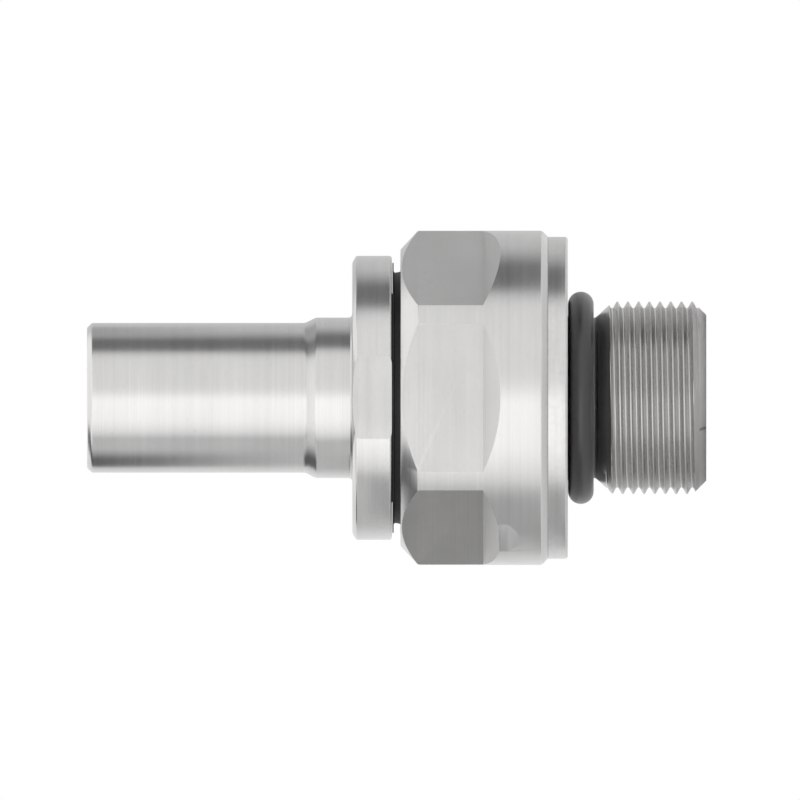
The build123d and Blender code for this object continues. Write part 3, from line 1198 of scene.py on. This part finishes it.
@dataclass
class RubberParts:
    """The two rubber rings that show: the O-ring on the neck and the wiping seal under the flange."""

    ring_centre: float = 17.445
    ring_section: float = 2.405
    ring_z: float = 23.455
    ring_points: int = 48
    seal_inner: float = 20.7
    seal_outer: float = 23.6
    lip: float = 25.25
    seat_z: float = 55.7
    top_z: float = 57.2
    lip_z: float = 58.7
    lip_thickness: float = 0.25
    heel_drop: float = 0.9
    heel_width: float = 2.8
    neck_drop: float = 0.5
    neck_width: float = 1.85
    throat_width: float = 1.65
    body_edge: float = 0.2
    shoulder_edge: float = 0.15
    heel_edge: float = 0.1
    lip_edge: float = 0.08
    wear_reach: float = 0.15
    smooth_below: float = 40
    steps: int = 192

    def o_ring_section(self) -> list[Point]:
        """Round section of the O-ring.

        Returns:
            Radius and height of each point.
        """
        points: list[Point] = []
        for index in range(self.ring_points):
            turn = 2 * math.pi * index / self.ring_points
            across, up = self.ring_section * math.cos(turn), self.ring_section * math.sin(turn)
            points.append((self.ring_centre + across, self.ring_z + up))
        return points

    def seal_corners(self) -> list[Corner]:
        """Half section of the wiping seal, with its thin lip.

        Returns:
            Radius, height and round of each corner.
        """
        edge = self.body_edge
        under_lip = self.lip_z - self.lip_thickness
        return [
            (self.seal_inner, self.seat_z, edge),
            (self.seal_outer, self.seat_z, edge),
            (self.seal_outer, self.top_z, self.shoulder_edge),
            (self.lip - self.neck_width, self.lip_z - self.neck_drop, edge),
            (self.lip - self.throat_width, under_lip, edge),
            (self.lip, under_lip, self.lip_edge),
            (self.lip, self.lip_z, self.lip_edge),
            (self.lip - self.heel_width, self.lip_z, self.heel_edge),
            (self.seal_inner, self.lip_z - self.heel_drop, edge),
        ]

    def build(self, finishes: Finishes) -> None:
        """Model, dress and place the two rings.

        Args:
            finishes: The finishes of the coupling.
        """
        ring = turn_solid("moulded_o_ring", self.o_ring_section(), self.steps)
        smooth(ring, self.smooth_below)
        finishes.dress(ring, "port_ring_rubber")
        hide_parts("port_o_ring")
        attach(ring, "housing")
        corners = self.seal_corners()
        seal = turn_solid("moulded_wiper", eased(corners), self.steps)
        mark_wear(seal, corners, self.wear_reach)
        smooth(seal, self.smooth_below)
        finishes.dress(seal, "seal_rubber")
        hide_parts("dust_seal")
        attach(seal, "housing")
        for piece in (ring, seal):
            log.info("piece %s", piece.name)


@dataclass
class InnerParts:
    """The CAD nodes that stay as they are and only get their finish."""

    finish_of: dict[str, str] = field(
        default_factory=lambda: {
            "housing_o_ring": "static_ring_rubber",
            "energiser_ring": "static_ring_rubber",
            "lower_guide_ring": "guide_polymer",
            "upper_guide_ring": "guide_polymer",
            "seal_ring": "seal_polymer",
            "bearing_nut": "nut_steel",
            "tab_washer": "washer_steel",
            "bearing_inner_ring": "bearing_steel",
            "bearing_outer_ring": "bearing_steel",
            "bearing_cage": "cage_brass",
        }
    )
    ball_count: int = 10

    def build(self, finishes: Finishes) -> None:
        """Dress the nodes.

        Args:
            finishes: The finishes of the coupling.
        """
        balls = {f"ball_{index + 1:02d}": "ball_steel" for index in range(self.ball_count)}
        for node, finish in {**self.finish_of, **balls}.items():
            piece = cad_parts[node]
            finishes.dress(piece, finish)
            log.info("node %s", node)


# The studio


@dataclass
class Studio:
    """Pale floor, white surroundings, soft light and the camera."""

    picture_width: float = 149.6
    middle_z: float = 57.27
    middle_x: float = -0.41
    camera_back: float = 0.5
    room_light: float = 0.75
    floor_size: float = 6.0
    floor_spots: Patches = Patches(3.0, 3.0)
    floor_low: float = 0.9
    floor_high: float = 0.93
    floor_roughness: float = 0.8
    lamp_place: Corner = (0.35, -0.5, 0.75)
    lamp_target: Corner = (0, 0, 0.05)
    lamp_size: float = 0.5
    lamp_energy: float = 2.5
    tent_radius: float = 220.0
    tent_segments: int = 144
    tent_rings: int = 90
    dim_glow: float = 0.12
    soft_glow: float = 0.48
    roof_glow: float = 1.15
    tube_glow: float = 0.7
    tube_rise: Point = (1, 6)
    tube_turns: tuple[Point, Point] = ((-62, -70), (-120, -108))
    roof_rise: Point = (38, 50)
    level_rise: Point = (9, 17)
    low_turns: tuple[Point, Point] = ((-85, -105), (-135, -127))
    low_rises: tuple[Point, Point] = ((76, 68), (-52, -44))
    high_turns: tuple[Point, Point] = ((98, 112), (143, 133))
    high_rise: Point = (40, 34)
    glow: tuple[Point, ...] = (
        (-180, 0.92), (-154, 0.92), (-136, 0.85), (-123, 0.69), (-112, 0.6), (-100, 0.49), (-70, 0.47),
        (-63, 0.62), (-57, 0.95), (-47, 1.17), (-35, 1.34), (-10, 1.4), (-1, 1.42), (4, 1.2), (10, 1.06),
        (16, 1.0), (62, 0.98), (70, 0.8), (78, 0.2), (98, 0.2), (112, 0.55), (122, 0.7), (180, 0.7),
    )

    def build_world(self) -> None:
        """White surroundings for the camera and for reflections, a little less for plain light."""
        world = bpy.data.worlds.new("white_room")
        bpy.context.scene.world = world
        world.use_nodes = True
        graph = Graph(world.node_tree)
        back = graph.tree.nodes["Background"]
        path = graph.add("LightPath")
        seen = graph.math("MAXIMUM", path.outputs["Is Camera Ray"], path.outputs["Is Glossy Ray"])
        seen = graph.math("MAXIMUM", seen, path.outputs["Is Transmission Ray"])
        graph.put(back, "Color", (1.0, 1.0, 1.0, 1.0))
        graph.put(back, "Strength", graph.span(seen, 0.0, 1.0, self.room_light, 1.0))

    def build_floor(self) -> None:
        """Pale floor under the threaded end."""
        clear_selection()
        bpy.ops.mesh.primitive_plane_add(size=self.floor_size, location=(0, 0, 0))
        floor = name_piece("floor")
        material = bpy.data.materials.new("pale_floor")
        material.use_nodes = True
        graph = Graph(material.node_tree)
        shader = graph.tree.nodes["Principled BSDF"]
        place = graph.add("TexCoord").outputs["Object"]
        tone = graph.patches(place, self.floor_spots, self.floor_low, self.floor_high)
        colour = graph.add("VectorMath", operation="SCALE")
        graph.put(colour, 0, (1.0, 1.0, 1.0))
        graph.put(colour, "Scale", tone)
        graph.put(shader, "Base Color", colour.outputs[0])
        graph.put(shader, "Roughness", self.floor_roughness)
        floor.data.materials.append(material)

    def glow_at(self, turn: float, rise: float) -> float:
        """Brightness of the surroundings in one direction.

        Args:
            turn: Degrees round Z, from the camera's side towards the top of the picture.
            rise: Degrees above the level of the tent's middle.

        Returns:
            The brightness, where 1 is white.
        """
        level = self.glow[-1][1]
        for (start, low), (end, high) in zip(self.glow, self.glow[1:]):
            if start <= turn <= end:
                level = low + (high - low) * (turn - start) / (end - start)
                break
        by_tube = ramp(rise, *self.tube_rise) * between(turn, self.tube_turns)
        level += (self.tube_glow - level) * by_tube
        level += (self.roof_glow - level) * ramp(rise, *self.roof_rise)
        off_level = ramp(abs(rise), *self.level_rise)
        low_side = between(turn, self.low_turns) * between(rise, self.low_rises)
        level += (self.dim_glow - level) * low_side * off_level
        high_side = between(turn, self.high_turns) * ramp(abs(rise), *self.high_rise)
        return level + (self.soft_glow - level) * high_side * off_level

    def build_tent(self) -> None:
        """Soft light tent round the object, which only reflections see, with its bright and dim sides."""
        clear_selection()
        bpy.ops.mesh.primitive_uv_sphere_add(
            segments=self.tent_segments,
            ring_count=self.tent_rings,
            radius=self.tent_radius * MM,
            location=(0, 0, self.middle_z * MM),
        )
        tent = name_piece("light_tent")
        settle(tent)
        values = tent.data.attributes.new(GLOW, "FLOAT", "POINT").data
        for vertex, value in zip(tent.data.vertices, values):
            turn = math.degrees(math.atan2(vertex.co.x, -vertex.co.y))
            height = (vertex.co.z / MM - self.middle_z) / self.tent_radius
            rise = math.degrees(math.asin(max(-1.0, min(1.0, height))))
            value.value = self.glow_at(turn, rise)
        smooth(tent, 60)
        material = bpy.data.materials.new("tent_cloth")
        material.use_nodes = True
        graph = Graph(material.node_tree)
        graph.tree.nodes.remove(graph.tree.nodes["Principled BSDF"])
        cloth = graph.add("Emission")
        graph.put(cloth, "Strength", graph.add("Attribute", attribute_name=GLOW).outputs["Fac"])
        graph.put(graph.tree.nodes["Material Output"], "Surface", cloth.outputs[0])
        tent.data.materials.append(material)
        tent.visible_camera = tent.visible_diffuse = tent.visible_shadow = False
        tent.visible_transmission = tent.visible_volume_scatter = False

    def build_lamp(self) -> None:
        """One large soft lamp from above and in front."""
        clear_selection()
        bpy.ops.object.light_add(type="AREA", location=self.lamp_place)
        lamp = bpy.context.object
        lamp.name = "soft_lamp"
        lamp.data.size = self.lamp_size
        lamp.data.energy = self.lamp_energy
        aim = Vector(self.lamp_target) - lamp.location
        lamp.rotation_euler = aim.to_track_quat("-Z", "Y").to_euler()
        lamp.visible_camera = False
        lamp.visible_glossy = False

    def build_camera(self) -> None:
        """Camera straight at the side, turned so that the tube end points left."""
        clear_selection()
        bpy.ops.object.camera_add()
        camera = bpy.context.object
        camera.data.type = "ORTHO"
        camera.data.ortho_scale = self.picture_width * MM
        right, up, back = Vector((0, 0, -1)), Vector((1, 0, 0)), Vector((0, -1, 0))
        turned = Matrix((right, up, back)).transposed().to_4x4()
        place = Matrix.Translation((self.middle_x * MM, -self.camera_back, self.middle_z * MM))
        camera.matrix_world = place @ turned
        bpy.context.scene.camera = camera

    def build(self) -> None:
        """Set up the whole studio."""
        bpy.context.scene.view_settings.view_transform = "Standard"
        self.build_world()
        self.build_floor()
        self.build_tent()
        self.build_lamp()
        self.build_camera()
        log.info("studio ready")


def main() -> None:
    """Build the finishes, the pieces and the studio, in order."""
    logging.basicConfig(level=logging.INFO, format="%(name)s: %(message)s")
    finishes = Finishes(Effects())
    Rotor().build(finishes)
    Housing().build(finishes)
    Stud().build(finishes)
    RubberParts().build(finishes)
    InnerParts().build(finishes)
    Studio().build()


if __name__ == "__main__":
    main()
